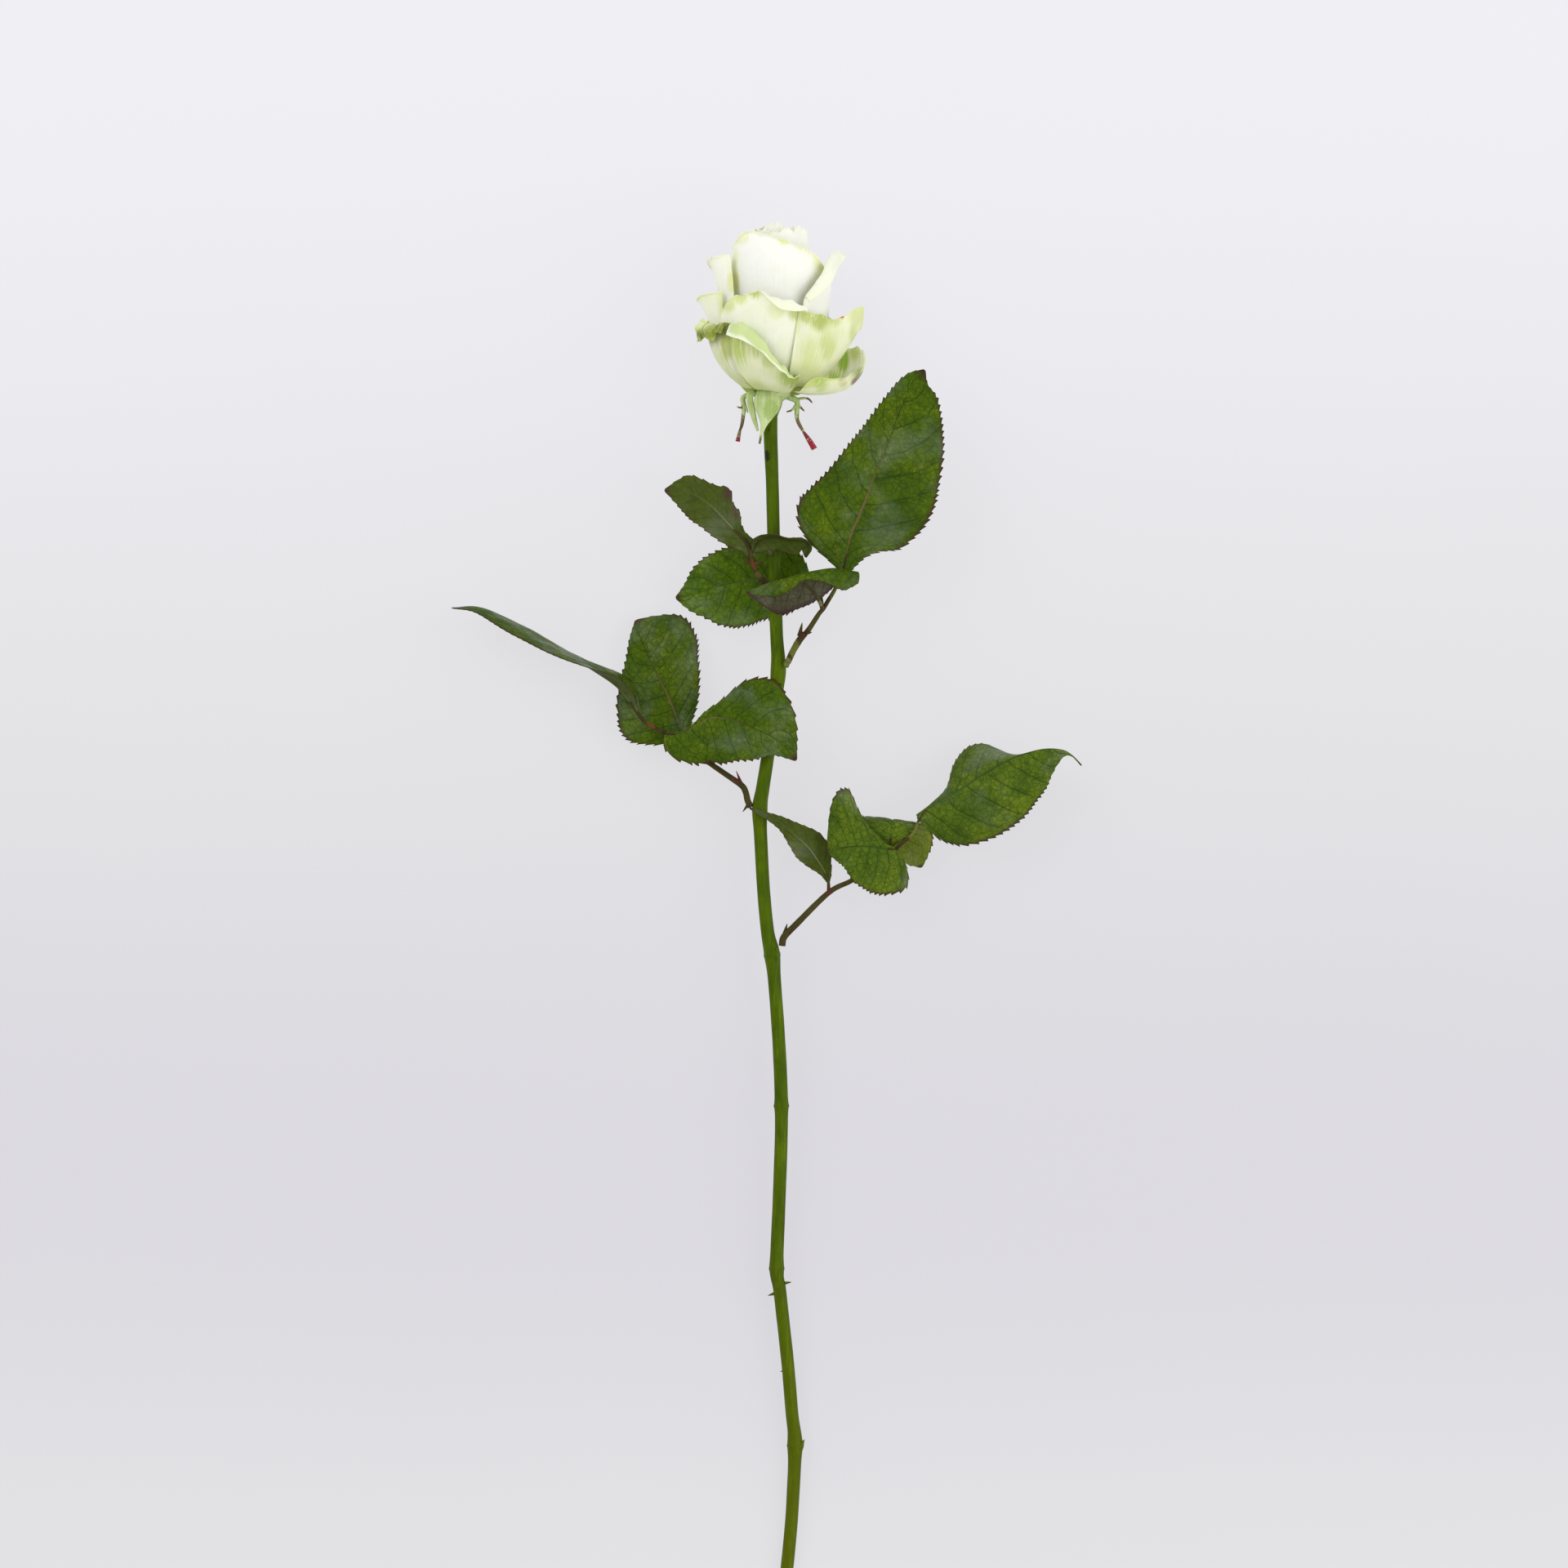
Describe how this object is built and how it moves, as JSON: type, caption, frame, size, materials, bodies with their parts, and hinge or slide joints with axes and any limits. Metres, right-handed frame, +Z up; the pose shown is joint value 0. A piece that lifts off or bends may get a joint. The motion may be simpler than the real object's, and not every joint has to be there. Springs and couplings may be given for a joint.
{
  "type": "rose",
  "caption": "Cut white rose lying on its side, with an opening bloom, a leafy stem and toothed leaflets.",
  "frame": {"origin": "centre of the bounding box on the surface that the rose lies on", "axes": "+Y along the stem, from its cut end to the bloom; +Z up from the surface; +X to the right as seen from above"},
  "size_m": [0.2319, 0.5008, 0.057],
  "materials": {
    "petal": "matte",
    "guard": "matte",
    "leaf": "satin",
    "leaf_under": "matte",
    "stem": "satin",
    "stalk": "satin",
    "calyx": "matte"
  },
  "bodies": {
    "root": {"stem": "stem", "calyx": "calyx", "stalk_upper": "stalk", "stalk_a": "stalk", "stalk_b": "stalk", "stalk_c": "stalk", "leaflet_upper_1": "leaf_under", "leaflet_upper_2": "leaf_under", "leaflet_a_1": "leaf", "leaflet_a_2": "leaf", "leaflet_a_3": "leaf", "leaflet_b_1": "leaf", "leaflet_b_2": "leaf", "leaflet_b_3": "leaf", "leaflet_c_1": "leaf", "leaflet_c_2": "leaf", "leaflet_c_3": "leaf", "leaflet_c_4": "leaf_under", "petal_guard_front": "guard", "petal_guard_left": "guard", "petal_guard_right": "guard", "petal_guard_under": "guard", "petal_outer_front": "petal", "petal_outer_right": "petal", "petal_outer_back_right": "petal", "petal_outer_back_left": "petal", "petal_outer_left": "petal", "petal_middle_left": "petal", "petal_middle_right": "petal", "petal_middle_front": "petal", "petal_middle_back": "petal", "petal_bud_front": "petal", "petal_bud_right": "petal", "petal_bud_back": "petal", "petal_bud_left": "petal", "petal_inner_1": "petal", "petal_inner_2": "petal", "petal_inner_3": "petal", "petal_inner_4": "petal", "petal_core_1": "petal", "petal_core_2": "petal", "petal_core_3": "petal", "petal_heart": "petal"}
  },
  "joints": []
}
